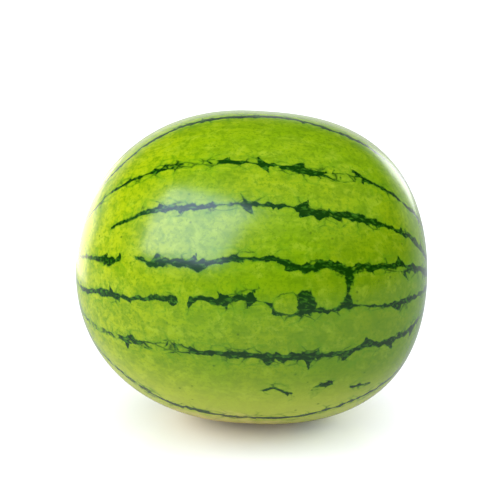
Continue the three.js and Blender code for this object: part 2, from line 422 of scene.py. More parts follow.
@dataclass(frozen=True)
class StripePattern:
    """All the stripes round the fruit.

    Attributes:
        in_view: The stripes whose every bend and spur is known.
        patches: The rounded patches among them.
        unseen: The rest of the stripes.
        seed: What the random parts of them grow from.
        grid_end: How far from the middle a stripe is worked out, in mm.
        grid_step: Spacing of the places at which it is worked out, in mm.
        softened: Length over which its bends are rounded off, in mm.
        swell: How much its width varies at random, as a share.
        swell_steps: Steps of the grid between two random widths.
        lobes: Least and greatest length of the light lobes that bite into a stripe's edges, in mm.
        cusp: Least and greatest height of the cusps between two lobes, in mm.
        cusp_base: Least and greatest half width of a cusp, in mm.
        cusp_full: Half width in mm of the stripe at which its cusps have their full height.
        cusp_share: Least and greatest share of that height.
        cusp_point: Exponent of a cusp's outline. 1 is a triangle, and more is hollower.
        spur_point: The same for a spur.
        weight: How heavy the stripes are, as a share of the widths given for them.
        lean: How far a spur leans along the fruit for its height, at most.
        lean_run: How far along the fruit the lean takes to change, in mm.
        turn: How far round the fruit all of them are turned, in degrees.
    """

    in_view: tuple[Stripe, ...] = SIDE_IN_VIEW
    patches: tuple[Rounded, ...] = LINKED_CELLS
    unseen: UnseenSide = UnseenSide()
    seed: int = 11
    grid_end: float = 126.0
    grid_step: float = 0.5
    softened: float = 7.0
    swell: float = 0.25
    swell_steps: int = 9
    lobes: tuple[float, float] = (4.0, 9.0)
    cusp: tuple[float, float] = (0.3, 2.2)
    cusp_base: tuple[float, float] = (1.5, 3.2)
    cusp_full: float = 1.8
    cusp_share: tuple[float, float] = (0.25, 1.2)
    cusp_point: float = 1.5
    spur_point: float = 1.4
    weight: float = 0.8
    lean: float = 0.7
    lean_run: float = 9.0
    turn: float = 0.4

    def frayed(self, grid: np.ndarray, half: np.ndarray, rng: np.random.Generator) -> np.ndarray:
        """Cusps that the light lobes leave along one edge of a stripe.

        Args:
            grid: Places along the fruit, in mm.
            half: Half the stripe's width at those places, in mm.
            rng: Source of their random places and heights.

        Returns:
            How far the edge stands out at each place, in mm.
        """
        profile = np.zeros_like(grid)
        place = grid[0]
        while place < grid[-1]:
            place += rng.uniform(*self.lobes)
            height = rng.uniform(*self.cusp)
            rise = np.clip(1 - np.abs(grid - place) / rng.uniform(*self.cusp_base), 0, 1)
            profile = np.maximum(profile, height * rise**self.cusp_point)
        return profile * np.clip(half / self.cusp_full, *self.cusp_share)

    def worked_out(self, stripe: Stripe, rng: np.random.Generator) -> tuple[np.ndarray, ...]:
        """One stripe at every place of the grid.

        Args:
            stripe: The stripe.
            rng: Source of its random detail.

        Returns:
            The grid, the line's angle, the reach above it, the reach below it and the netting.
        """
        grid = np.arange(-self.grid_end, self.grid_end + self.grid_step / 2, self.grid_step)
        places, angles = zip(*stripe.course)
        line = np.interp(grid, places, angles)
        soften = np.hanning(round(self.softened / self.grid_step))
        margin = len(soften) // 2
        line = np.convolve(np.pad(line, margin, mode="edge"), soften / soften.sum(), mode="same")
        line = line[margin : margin + len(grid)]
        places, halves, nettings = zip(*stripe.make)
        half = self.weight * np.interp(grid, places, halves)
        netting = np.interp(grid, places, nettings)
        sparse = grid[:: self.swell_steps]
        edges = {}
        for side in (1, -1):
            thick = half * (1 + self.swell * np.interp(grid, sparse, rng.uniform(-1, 1, len(sparse))))
            reach = thick + self.frayed(grid, half, rng)
            for spike in stripe.spikes:
                if spike.height * side > 0:
                    rise = np.clip(1 - np.abs(grid - spike.place) / (spike.base / 2), 0, 1)
                    spur = np.maximum(half, 0) + abs(spike.height) * rise**self.spur_point
                    reach = np.where(rise > 0, np.maximum(reach, spur), reach)
            edges[side] = reach
        return grid, line, edges[1], edges[-1], netting

    def measured(self, place: np.ndarray, angle: np.ndarray, radius: np.ndarray) -> dict[Layer, np.ndarray]:
        """What the skin's material needs to know about the stripes.

        Args:
            place: Places along the fruit, in mm.
            angle: Angles round the fruit, in degrees.
            radius: Distances from the axis, in mm.

        Returns:
            Rows of three values for each layer.
        """
        rng = np.random.default_rng(self.seed)
        grown = [self.worked_out(stripe, rng) for stripe in self.in_view]
        grown += [self.worked_out(self.unseen.stripe(middle, rng), rng) for middle in self.unseen.angles]
        behind = angle - self.turn + 180
        turned = np.stack([(behind - np.interp(place, g, line)) % 360 - 180 for g, line, *_ in grown])
        nearest = np.abs(turned).argmin(axis=0)
        away = np.take_along_axis(turned, nearest[None], axis=0)[0]
        ahead = np.where(turned * np.where(away < 0, -1, 1) < 0, np.abs(turned), np.inf).min(axis=0)
        spacing = np.abs(away) + ahead
        phase = FULL_TURN * away / spacing
        edges = np.zeros((len(place), 3))
        offset = np.radians(away) * radius
        for number, (grid, _, *values) in enumerate(grown):
            own = nearest == number
            lean = self.lean * np.sin(place[own] / self.lean_run + number)
            for column, value in enumerate(values):
                edges[own, column] = np.interp(place[own] + lean * offset[own], grid, value)
        return {
            Layer.PHASE: np.stack([np.sin(phase), np.cos(phase), np.radians(spacing) * radius], axis=1),
            Layer.EDGES: edges,
            Layer.PATCHES: self.rounded(place, angle, radius),
        }

    def rounded(self, place: np.ndarray, angle: np.ndarray, radius: np.ndarray) -> np.ndarray:
        """Where the rounded patches are.

        Args:
            place: Places along the fruit, in mm.
            angle: Angles round the fruit, in degrees.
            radius: Distances from the axis, in mm.

        Returns:
            How far each place is from the nearest light lobe, half the width of that lobe's rim, and how far
            it is from the nearest dark blob, in mm.
        """
        far = 20.0
        rows = np.tile((far, -far, far), (len(place), 1))
        for patch in self.patches:
            away = patch.away(place, angle, radius)
            if patch.patch is Patch.DARK_BLOB:
                rows[:, 2] = np.minimum(rows[:, 2], away)
                continue
            closer = away < rows[:, 0]
            rows[closer, 0] = away[closer]
            rows[closer, 1] = patch.rim / 2 if patch.rim else -far
        return rows


def linear(hex_colour: str) -> tuple[float, float, float, float]:
    """Turns an sRGB colour such as "#8bae14" to the linear values that a shader takes."""
    shares = [int(hex_colour[i : i + 2], 16) / 255 for i in (1, 3, 5)]
    return (*(s / 12.92 if s <= 0.04045 else ((s + 0.055) / 1.055) ** 2.4 for s in shares), 1.0)


def add_node(
    tree: Tree,
    kind: str,
    inputs: dict[str | int, Any] | None = None,
    output: str | int = 0,
    **settings: Any,
) -> Socket | None:
    """Adds a node with its settings and links.

    Args:
        tree: The nodes that it joins.
        kind: Its type, without the "ShaderNode" that all of them start with.
        inputs: Values or output sockets for its inputs, by name or number.
        output: The output that is wanted, by name or number.
        **settings: Values of its properties.

    Returns:
        The wanted output, or nothing for a node that has no outputs.
    """
    node = tree.nodes.new("ShaderNode" + kind)
    for name, value in settings.items():
        setattr(node, name, value)
    for name, value in (inputs or {}).items():
        if isinstance(value, Socket):
            tree.links.new(value, node.inputs[name])
        else:
            node.inputs[name].default_value = value
    return node.outputs[output] if node.outputs else None


def new_material(name: str) -> tuple[bpy.types.Material, Tree]:
    """Makes an empty material with nodes.

    Args:
        name: Its name.

    Returns:
        The material and its tree.
    """
    material = bpy.data.materials.new(name)
    material.use_nodes = True
    material.node_tree.nodes.clear()
    return material, material.node_tree


@dataclass(frozen=True)
class WaxyRind:
    """The living skin of a ripe watermelon, under its own thin wax.

    The wax gives broad soft highlights with a pale bloom. Under it the skin is lime green, faintly mottled
    and streaked, with small dark flecks, and the stripes are torn dark green veins. Its colour also holds
    some painted light on the stalk half and the underside, and painted shade low on the blossom half.
    Sizes are in mm.
    """

    light: str = "#6d8f00"
    # also partly painted light on the stalk half
    light_yellow: str = "#8e9b0a"
    # also the painted shade low on the blossom half
    light_deep: str = "#507400"
    light_pale: str = "#93ab2c"
    # partly the skin's paling towards the ground spot, partly painted bounce light
    belly_and_bounce: str = "#b7bd3e"
    dot: str = "#3c5c05"
    vein: str = "#0a2f00"
    vein_soft: str = "#3d7410"
    vein_rim: str = "#4f7d06"
    ground_spot: str = "#dcc873"
    cork: str = "#8d7a4e"
    cork_dark: str = "#5a4a2c"

    # The surface of the wax, and how high the skin under it is embossed.
    roughness: float = 0.21
    cork_roughness: float = 0.66
    ior: float = 1.4
    specular: float = 0.4
    relief: float = 0.09
    relief_strength: float = 0.22

    # The edges of a stripe.
    wiggle: float = 1.6  # how far its line wanders
    wiggle_size: float = 10.0  # size of those small bends
    fray: float = 1.0  # how deep its edges are torn
    fray_size: float = 1.8  # size of those tears
    strand: float = 0.27  # half the width of the strand that no lobe cuts, as a share of the stripe's
    least: float = 0.3  # a stripe that is narrower than this sends out no branches

    # The light lobes that bite into a stripe, and the light islands in its netted stretches.
    lobe: float = 8.0  # size of a lobe
    lobe_stretch: float = 1.3  # how much longer it is along the fruit
    bite: float = 0.5  # how deep it bites for each mm of its own depth
    spared: float = 0.75  # how much of each bite is taken back
    island: float = 5.0  # size of an island
    island_stretch: float = 2.0  # how much longer it is along the fruit
    thread: float = 0.34  # half the width of the threads between islands
    closed: float = 3.34  # the same where a stripe is solid, which leaves no islands
    push: float = 5.0  # how far lobes and islands are pushed from their even places
    push_size: float = 9.0  # size of the stretches that are pushed alike

    # The thin branches that run out between two lobes.
    branch: float = 5.5  # how far they reach
    branch_root: float = 0.75  # half their width at the stripe
    branch_fray: float = 0.3  # share of the tearing that they take
    branch_size: float = 17.0  # size of the stretches where they grow well or badly
    branch_thinned: float = 0.25  # how much thinner they are where they grow badly
    branch_thickened: float = 0.65  # how much thicker they are where they grow well

    # The rounded patches and the rims round them.
    dent: float = 4.5  # how deep their outlines are dented
    dent_size: float = 9.0  # size of those dents
    rim_swell: float = 1.2  # how much half the width of a rim varies

    # How much of each tone the light skin takes, at most.
    drift_share: float = 0.35
    # partly painted light: the stalk half is yellowed where the strong lights fall
    stalk_yellow_and_light_share: float = 0.9
    # painted shade: a darker green low on the blossom half
    painted_side_shade_share: float = 0.62
    # partly painted light: the underside is paled for bounce from the table
    belly_and_bounce_share: float = 0.8
    fleck_share: float = 0.8

    # The ground spot, as the middle and half axes of an ellipsoid that cuts the straight fruit.
    spot_middle: tuple[float, float, float] = (-5.3, -20.6, -110.7)
    spot_reach: tuple[float, float, float] = (66.7, 58.8, 71.4)
    spot_share: float = 0.92

    def cell_edge(self, tree: Tree, where: Socket, size: float, stretch: float) -> Socket:
        """How far the skin is from the edges of rounded light cells.

        Args:
            tree: The material's nodes.
            where: Places on the straight fruit.
            size: Size of the cells, in mm.
            stretch: How much longer they are along the fruit.

        Returns:
            The distance, in mm.
        """
        add = partial(add_node, tree)
        longer = add("Mapping", {"Vector": where, "Scale": (1 / stretch, 1, 1)})
        inputs = {"Vector": longer, "Scale": 1 / (size * MM)}
        distance = add("TexVoronoi", inputs, "Distance", feature="DISTANCE_TO_EDGE")
        return add("Math", {0: distance, 1: size}, operation="MULTIPLY")

    def torn_edge(self, tree: Tree, skin: Socket, grown: Socket) -> Socket:
        """How far the skin is from the nearest stripe's torn edge.

        Args:
            tree: The material's nodes.
            skin: Places on the fruit as it lies.
            grown: Places on the straight fruit.

        Returns:
            The distance in mm, which is negative inside the stripe.
        """
        add = partial(add_node, tree)
        rows = (
            add("Attribute", output="Vector", attribute_name=layer.value)
            for layer in (Layer.PHASE, Layer.EDGES, Layer.PATCHES)
        )
        phase, edges, patches = (add("SeparateXYZ", {0: row}).node.outputs for row in rows)
        inputs = {"Vector": skin, "Scale": 1 / (self.fray_size * MM), "Detail": 3.0, "Roughness": 0.6}
        torn = add("MapRange", {0: add("TexNoise", inputs), 3: -self.fray, 4: self.fray}, clamp=False)

        # The band between the stripe's two edges.
        bend = add("TexNoise", {"Vector": skin, "Scale": 1 / (self.wiggle_size * MM), "Detail": 2.0})
        wander = add("MapRange", {0: bend, 3: -self.wiggle, 4: self.wiggle}, clamp=False)
        angle = add("Math", {0: phase[0], 1: phase[1]}, operation="ARCTAN2")
        share = add("Math", {0: angle, 1: 1 / FULL_TURN}, operation="MULTIPLY")
        away = add("Math", {0: share, 1: phase[2], 2: wander}, operation="MULTIPLY_ADD")
        above = add("Math", {0: away, 1: edges[0]}, operation="SUBTRACT")
        lower = add("Math", {0: away, 1: edges[1]}, operation="ADD")
        below = add("Math", {0: lower, 1: -1.0}, operation="MULTIPLY")
        smooth = add("Math", {0: above, 1: below}, operation="MAXIMUM")
        band = add("Math", {0: smooth, 1: torn}, operation="ADD")

        # Light lobes bite into it, but leave a strand along its line.
        push = add("TexNoise", {"Vector": grown, "Scale": 1 / (self.push_size * MM), "Detail": 2.0}, "Color")
        inputs = {0: push, 1: (self.push * MM,) * 3, 2: grown}
        pushed = add("VectorMath", inputs, operation="MULTIPLY_ADD")
        lobes = self.cell_edge(tree, pushed, self.lobe, self.lobe_stretch)
        bite = add("Math", {0: lobes, 1: self.bite, 2: -self.spared}, operation="MULTIPLY_ADD")
        scalloped = add("Math", {0: band, 1: bite}, operation="ADD")
        both = add("Math", {0: edges[0], 1: edges[1]}, operation="ADD")
        core = add("Math", {0: both, 1: -self.strand, 2: torn}, operation="MULTIPLY_ADD")
        off_line = add("Math", {0: away}, operation="ABSOLUTE")
        strand = add("Math", {0: off_line, 1: core}, operation="ADD")
        solid = add("Math", {0: scalloped, 1: strand}, operation="MINIMUM")

        # Small light islands open it up where it is netted.
        islands = self.cell_edge(tree, pushed, self.island, self.island_stretch)
        openness = add("MapRange", {0: edges[2], 3: -self.closed, 4: -self.thread}, clamp=False)
        netted = add("Math", {0: islands, 1: openness}, operation="ADD")
        opened = add("Math", {0: solid, 1: netted}, operation="MAXIMUM")

        # Thin branches follow the lobes' edges away from it, in some places more than in others.
        patchy = add("TexNoise", {"Vector": skin, "Scale": 1 / (self.branch_size * MM), "Detail": 1.0})
        inputs = {0: patchy, 1: 0.42, 2: 0.62, 3: self.branch_thinned, 4: -self.branch_thickened}
        vigour = add("MapRange", inputs, interpolation_type="SMOOTHSTEP")
        ragged = add("Math", {0: torn, 1: self.branch_fray, 2: vigour}, operation="MULTIPLY_ADD")
        inputs = {0: band, 1: self.branch_root / self.branch, 2: ragged}
        thinning = add("Math", inputs, operation="MULTIPLY_ADD")
        branch = add("Math", {0: lobes, 1: thinning}, operation="ADD")
        missing = add("Math", {0: both, 1: self.least}, operation="LESS_THAN")
        kept = add("Math", {0: missing, 1: OUT_OF_REACH, 2: branch}, operation="MULTIPLY_ADD")
        lace = add("Math", {0: opened, 1: kept}, operation="MINIMUM")

        # Rounded patches: dark blobs, and light lobes with their rims.
        dent = add("TexNoise", {"Vector": grown, "Scale": 1 / (self.dent_size * MM), "Detail": 2.0})
        swell = add("MapRange", {0: dent, 3: -self.dent, 4: self.dent}, clamp=False)
        dented = add("Math", {0: swell, 1: torn}, operation="ADD")
        blob = add("Math", {0: patches[2], 1: dented}, operation="ADD")
        blobbed = add("Math", {0: lace, 1: blob}, operation="MINIMUM")
        lobe = add("Math", {0: patches[0], 1: dented}, operation="ADD")
        outside = add("Math", {0: lobe, 1: -1.0}, operation="MULTIPLY")
        carved = add("Math", {0: blobbed, 1: outside}, operation="MAXIMUM")
        off_rim = add("Math", {0: lobe}, operation="ABSOLUTE")
        uneven = add("MapRange", {0: bend, 3: -self.rim_swell, 4: self.rim_swell}, clamp=False)
        half_rim = add("Math", {0: patches[1], 1: uneven}, operation="ADD")
        rim = add("Math", {0: off_rim, 1: half_rim}, operation="SUBTRACT")
        return add("Math", {0: carved, 1: rim}, operation="MINIMUM")

    def light_skin(self, tree: Tree, skin: Socket, grown: Socket) -> Socket:
        """The colour of the skin between the stripes, with painted light and painted shade in parts of it.

        Args:
            tree: The material's nodes.
            skin: Places on the fruit as it lies.
            grown: Places on the straight fruit.

        Returns:
            The colour.
        """
        add = partial(add_node, tree)
        at = add("SeparateXYZ", {0: grown}).node.outputs

        # Large drifts of yellow, most of all near the stalk. Near the stalk the yellow is partly the skin's
        # own and partly painted light on the brightly lit stalk half.
        large = add("TexNoise", {"Vector": skin, "Scale": 1 / (55 * MM), "Detail": 1.0})
        inputs = {0: large, 1: 0.35, 2: 0.65, 4: self.drift_share}
        drift = add("MapRange", inputs, interpolation_type="SMOOTHSTEP")
        inputs = {0: at[0], 1: 0.0, 2: -120 * MM, 4: self.stalk_yellow_and_light_share}
        stalk_half_yellow_and_light = add("MapRange", inputs, interpolation_type="SMOOTHSTEP")
        yellow = add("Math", {0: drift, 1: stalk_half_yellow_and_light}, operation="MAXIMUM")
        inputs = {0: yellow, 6: linear(self.light), 7: linear(self.light_yellow)}
        colour = add("Mix", inputs, 2, data_type="RGBA")

        # Painted shade: a darker green low on the side of the blossom half.
        inputs = {0: at[0], 1: -40 * MM, 2: 80 * MM, 4: self.painted_side_shade_share}
        blossom_half_shade = add("MapRange", inputs, interpolation_type="SMOOTHSTEP")
        below_top_shade = add("MapRange", {0: at[2], 1: 75 * MM, 2: 20 * MM}, interpolation_type="SMOOTHSTEP")
        painted_side_shade = add("Math", {0: blossom_half_shade, 1: below_top_shade}, operation="MULTIPLY")
        colour = add("Mix", {0: painted_side_shade, 6: colour, 7: linear(self.light_deep)}, 2, data_type="RGBA")

        # Paler and deeper mottles, streaks along the fruit and a fine grain.
        along = add("Mapping", {"Vector": grown, "Scale": (0.16, 1, 1)})
        pale = {"Vector": grown, "Scale": 1 / (11 * MM), "Detail": 5.0, "Roughness": 0.6, "Distortion": 0.8}
        mottle = {"Vector": skin, "Scale": 1 / (9 * MM), "Detail": 5.0, "Roughness": 0.66, "Distortion": 0.5}
        streak = {"Vector": along, "Scale": 1 / (3.2 * MM), "Detail": 3.0}
        grain = {"Vector": skin, "Scale": 1 / (2.6 * MM), "Detail": 2.0, "Roughness": 0.7}
        for texture, low, high, strength, tone in (
            (pale, 0.48, 0.7, 0.3, self.light_pale),
            (mottle, 0.42, 0.64, 0.6, self.light_deep),
            (streak, 0.5, 0.72, 0.42, self.light_deep),
            (grain, 0.46, 0.7, 0.7, self.light_deep),
        ):
            noise = add("TexNoise", texture)
            share = add("MapRange", {0: noise, 1: low, 2: high, 4: strength}, interpolation_type="SMOOTHSTEP")
            colour = add("Mix", {0: share, 6: colour, 7: linear(tone)}, 2, data_type="RGBA")

        # A paler underside: partly the skin's own paling towards the ground spot and partly painted bounce
        # light from the table.
        inputs = {0: at[2], 1: -30 * MM, 2: -100 * MM, 4: self.belly_and_bounce_share}
        under = add("MapRange", inputs, interpolation_type="SMOOTHSTEP")
        colour = add("Mix", {0: under, 6: colour, 7: linear(self.belly_and_bounce)}, 2, data_type="RGBA")

        # Sparse small dark flecks, one in some of the cells that they are scattered over.
        cells = add("TexVoronoi", {"Vector": skin, "Scale": 1 / (8 * MM)}).node.outputs
        random = add("SeparateColor", {0: cells["Color"]})
        chosen = add("MapRange", {0: random, 1: 0.52, 2: 0.9}, interpolation_type="SMOOTHSTEP")
        inputs = {0: cells["Distance"], 1: 0.17, 2: 0.04, 4: self.fleck_share}
        near = add("MapRange", inputs, interpolation_type="SMOOTHSTEP")
        fleck = add("Math", {0: near, 1: chosen}, operation="MULTIPLY")
        return add("Mix", {0: fleck, 6: colour, 7: linear(self.dot)}, 2, data_type="RGBA")

    def vein_colour(self, tree: Tree, grown: Socket) -> Socket:
        """The colour inside a stripe: dark strands, with paler green showing between them.

        Args:
            tree: The material's nodes.
            grown: Places on the straight fruit.

        Returns:
            The colour.
        """
        add = partial(add_node, tree)
        longer = add("Mapping", {"Vector": grown, "Scale": (0.55, 1, 1)})
        inputs = {"Vector": longer, "Scale": 1 / (2.0 * MM), "Detail": 3.0, "Distortion": 0.4}
        strands = add("TexNoise", inputs)
        between = add("MapRange", {0: strands, 1: 0.48, 2: 0.72, 4: 0.6}, interpolation_type="SMOOTHSTEP")
        return add("Mix", {0: between, 6: linear(self.vein), 7: linear(self.vein_soft)}, 2, data_type="RGBA")

    def on_ground(self, tree: Tree, skin: Socket, grown: Socket) -> Socket:
        """How much of its green the skin lost where it lay on the ground.

        Args:
            tree: The material's nodes.
            skin: Places on the fruit as it lies.
            grown: Places on the straight fruit.

        Returns:
            The share, with a blurred and uneven edge.
        """
        add = partial(add_node, tree)
        middle = tuple(value * MM for value in self.spot_middle)
        reach = tuple(value * MM for value in self.spot_reach)
        off_middle = add("VectorMath", {0: grown, 1: middle}, operation="SUBTRACT")
        scaled = add("VectorMath", {0: off_middle, 1: reach}, operation="DIVIDE")
        away = add("VectorMath", {0: scaled}, "Value", operation="LENGTH")
        blurred = add("TexNoise", {"Vector": skin, "Scale": 1 / (14 * MM), "Detail": 4.0})
        edge = add("Math", {0: blurred, 1: 0.9, 2: away}, operation="MULTIPLY_ADD")
        inputs = {0: edge, 1: 1.5, 2: 0.95, 4: self.spot_share}
        return add("MapRange", inputs, interpolation_type="SMOOTHSTEP")

    def corked(self, tree: Tree, skin: Socket, grown: Socket) -> tuple[Socket, Socket]:
        """Cork at the blossom's scar, and fine corky cracks that run out from the stalk.

        Args:
            tree: The material's nodes.
            skin: Places on the fruit as it lies.
            grown: Places on the straight fruit.

        Returns:
            The share of cork, and its colour.
        """
        add = partial(add_node, tree)
        across = add("VectorMath", {0: grown, 1: (0, 1, 1)}, operation="MULTIPLY")
        from_axis = add("VectorMath", {0: across}, "Value", operation="LENGTH")
        rough = add("TexNoise", {"Vector": skin, "Scale": 1 / (1.2 * MM), "Detail": 4.0, "Roughness": 0.7})
        ragged = add("Math", {0: rough, 1: 3 * MM, 2: from_axis}, operation="MULTIPLY_ADD")

        near_scar = add("MapRange", {0: ragged, 1: 7.4 * MM, 2: 6.0 * MM}, interpolation_type="SMOOTHSTEP")
        place = add("SeparateXYZ", {0: grown})
        blossom_end = add("Math", {0: place, 1: 0.0}, operation="GREATER_THAN")
        scar = add("Math", {0: near_scar, 1: blossom_end}, operation="MULTIPLY")

        # The further from the stalk, the fewer places are cracked.
        outwards = add("VectorMath", {0: across}, operation="NORMALIZE")
        spokes = add("TexNoise", {"Vector": outwards, "Scale": 9.0, "Detail": 4.0, "Roughness": 0.7})
        least = add("MapRange", {0: ragged, 1: 6 * MM, 2: 18 * MM, 3: 0.42, 4: 0.8})
        depth = add("Math", {0: spokes, 1: least}, operation="SUBTRACT")
        crack = add("MapRange", {0: depth, 1: 0.0, 2: 0.06}, interpolation_type="SMOOTHSTEP")
        stalk_end = add("Math", {0: 1.0, 1: blossom_end}, operation="SUBTRACT")
        stalk_crack = add("Math", {0: crack, 1: stalk_end}, operation="MULTIPLY")

        dark = add("MapRange", {0: rough, 1: 0.4, 2: 0.6}, interpolation_type="SMOOTHSTEP")
        colour = add("Mix", {0: dark, 6: linear(self.cork), 7: linear(self.cork_dark)}, 2, data_type="RGBA")
        return add("Math", {0: scar, 1: stalk_crack}, operation="MAXIMUM"), colour

    def material(self) -> bpy.types.Material:
        """Makes the material.

        Returns:
            The material.
        """
        material, tree = new_material("waxy_watermelon_rind")
        add = partial(add_node, tree)
        skin = add("TexCoord", output="Object")
        grown = add("Attribute", output="Vector", attribute_name=Layer.GROWN.value)

        # Each vein has a soft green rim. The ground spot hides the rims, but the veins show faintly in it.
        gap = self.torn_edge(tree, skin, grown)
        rim = add("MapRange", {0: gap, 1: 1.6, 2: -0.1, 4: 0.55}, interpolation_type="SMOOTHSTEP")
        inside = add("MapRange", {0: gap, 1: 0.45, 2: -0.75}, interpolation_type="SMOOTHSTEP")
        spot = self.on_ground(tree, skin, grown)
        faded = add("MapRange", {0: spot, 3: 1.0, 4: 0.11})
        veined = add("Math", {0: inside, 1: faded}, operation="MULTIPLY")
        corky, cork = self.corked(tree, skin, grown)
        colour = self.light_skin(tree, skin, grown)
        for share, over in (
            (rim, linear(self.vein_rim)),
            (spot, linear(self.ground_spot)),
            (veined, self.vein_colour(tree, grown)),
            (corky, cork),
        ):
            colour = add("Mix", {0: share, 6: colour, 7: over}, 2, data_type="RGBA")

        # A gently uneven skin, on which the veins lie a little lower.
        pores = add("TexNoise", {"Vector": skin, "Scale": 1 / (1.6 * MM), "Detail": 3.0})
        dents = add("TexNoise", {"Vector": skin, "Scale": 1 / (6 * MM), "Detail": 2.0})
        coarse = add("Math", {0: dents, 1: 2.3}, operation="MULTIPLY")
        relief = add("Math", {0: pores, 1: coarse}, operation="ADD")
        height = add("Math", {0: inside, 1: -1.0, 2: relief}, operation="MULTIPLY_ADD")
        bump = add("Bump", {"Strength": self.relief_strength, "Distance": self.relief * MM, "Height": height})
        inputs = {0: corky, 1: self.cork_roughness - self.roughness, 2: self.roughness}
        inputs = {
            "Base Color": colour,
            "Roughness": add("Math", inputs, operation="MULTIPLY_ADD"),
            "Normal": bump,
            "IOR": self.ior,
            "Specular IOR Level": self.specular,
        }
        add("OutputMaterial", {"Surface": add("BsdfPrincipled", inputs)})
        return material


@dataclass(frozen=True)
class DryStalkFibre:
    """The dead stump of a vine's stalk: dull, dry fibre, ridged lengthways, and paler where it was cut."""

    bark: str = "#8b7b45"
    bark_dark: str = "#54472a"
    green: str = "#7d8743"
    cut: str = "#a3905f"
    roughness: float = 0.85
    cut_place: float = -125.5 * MM  # on the straight fruit
    cut_share: float = 0.75

    def material(self) -> bpy.types.Material:
        """Makes the material.

        Returns:
            The material.
        """
        material, tree = new_material("dry_stalk_fibre")
        add = partial(add_node, tree)
        grown = add("Attribute", output="Vector", attribute_name=Layer.GROWN.value)
        along = add("Mapping", {"Vector": grown, "Scale": (0.12, 1, 1)})
        fibre = add("TexNoise", {"Vector": along, "Scale": 1 / (0.5 * MM), "Detail": 4.0})
        patch = add("TexNoise", {"Vector": grown, "Scale": 1 / (4 * MM), "Detail": 2.0})
        bark = add("Mix", {0: fibre, 6: linear(self.bark), 7: linear(self.bark_dark)}, 2, data_type="RGBA")
        colour = add("Mix", {0: patch, 6: bark, 7: linear(self.green)}, 2, data_type="RGBA")
        place = add("SeparateXYZ", {0: grown})
        end = {0: place, 1: self.cut_place + 1.3 * MM, 2: self.cut_place + 0.9 * MM, 4: self.cut_share}
        at_cut = add("MapRange", end, interpolation_type="SMOOTHSTEP")
        colour = add("Mix", {0: at_cut, 6: colour, 7: linear(self.cut)}, 2, data_type="RGBA")
        bump = add("Bump", {"Strength": 0.6, "Distance": 0.3 * MM, "Height": fibre})
        inputs = {"Base Color": colour, "Roughness": self.roughness, "Normal": bump}
        add("OutputMaterial", {"Surface": add("BsdfPrincipled", inputs)})
        return material


def turned(outline: list[Vector], steps: int) -> bmesh.types.BMesh:
    """Spins an outline that starts and ends on the X axis into a closed solid.

    Args:
        outline: Points in the plane of X and Z.
        steps: Number of steps round.

    Returns:
        The solid, with its faces pointing out.
    """
    bm = bmesh.new()
    verts = [bm.verts.new(point) for point in outline]
    edges = [bm.edges.new(pair) for pair in zip(verts, verts[1:])]
    bmesh.ops.spin(
        bm,
        geom=[*verts, *edges],
        axis=(1, 0, 0),
        cent=(0, 0, 0),
        angle=FULL_TURN,
        steps=steps,
        use_merge=True,
    )
    bmesh.ops.remove_doubles(bm, verts=bm.verts, dist=0.001 * MM)
    bmesh.ops.recalc_face_normals(bm, faces=bm.faces)
    return bm


def places_of(mesh: bpy.types.Mesh) -> np.ndarray:
    """Where a mesh's vertices are.

    Args:
        mesh: The mesh.

    Returns:
        One row of X, Y and Z for each vertex.
    """
    places = np.empty(3 * len(mesh.vertices))
    mesh.vertices.foreach_get("co", places)
    return places.reshape(-1, 3)


def keep_layer(mesh: bpy.types.Mesh, layer: Layer, rows: np.ndarray) -> None:
    """Stores rows of three values at the mesh's vertices."""
    kept = mesh.attributes.new(layer.value, "FLOAT_VECTOR", "POINT")
    kept.data.foreach_set("vector", rows.astype(np.float32).ravel())


def shown(
    name: str, mesh: bpy.types.Mesh, places: np.ndarray, material: bpy.types.Material
) -> bpy.types.Object:
    """Puts a finished mesh in the scene, smooth and dressed.

    Args:
        name: The piece's name.
        mesh: Its mesh.
        places: Where its vertices go.
        material: Its finish.

    Returns:
        The piece.
    """
    mesh.vertices.foreach_set("co", places.ravel())
    mesh.polygons.foreach_set("use_smooth", [True] * len(mesh.polygons))
    mesh.materials.append(material)
    mesh.update()
    piece = bpy.data.objects.new(name, mesh)
    bpy.context.scene.collection.objects.link(piece)
    return piece


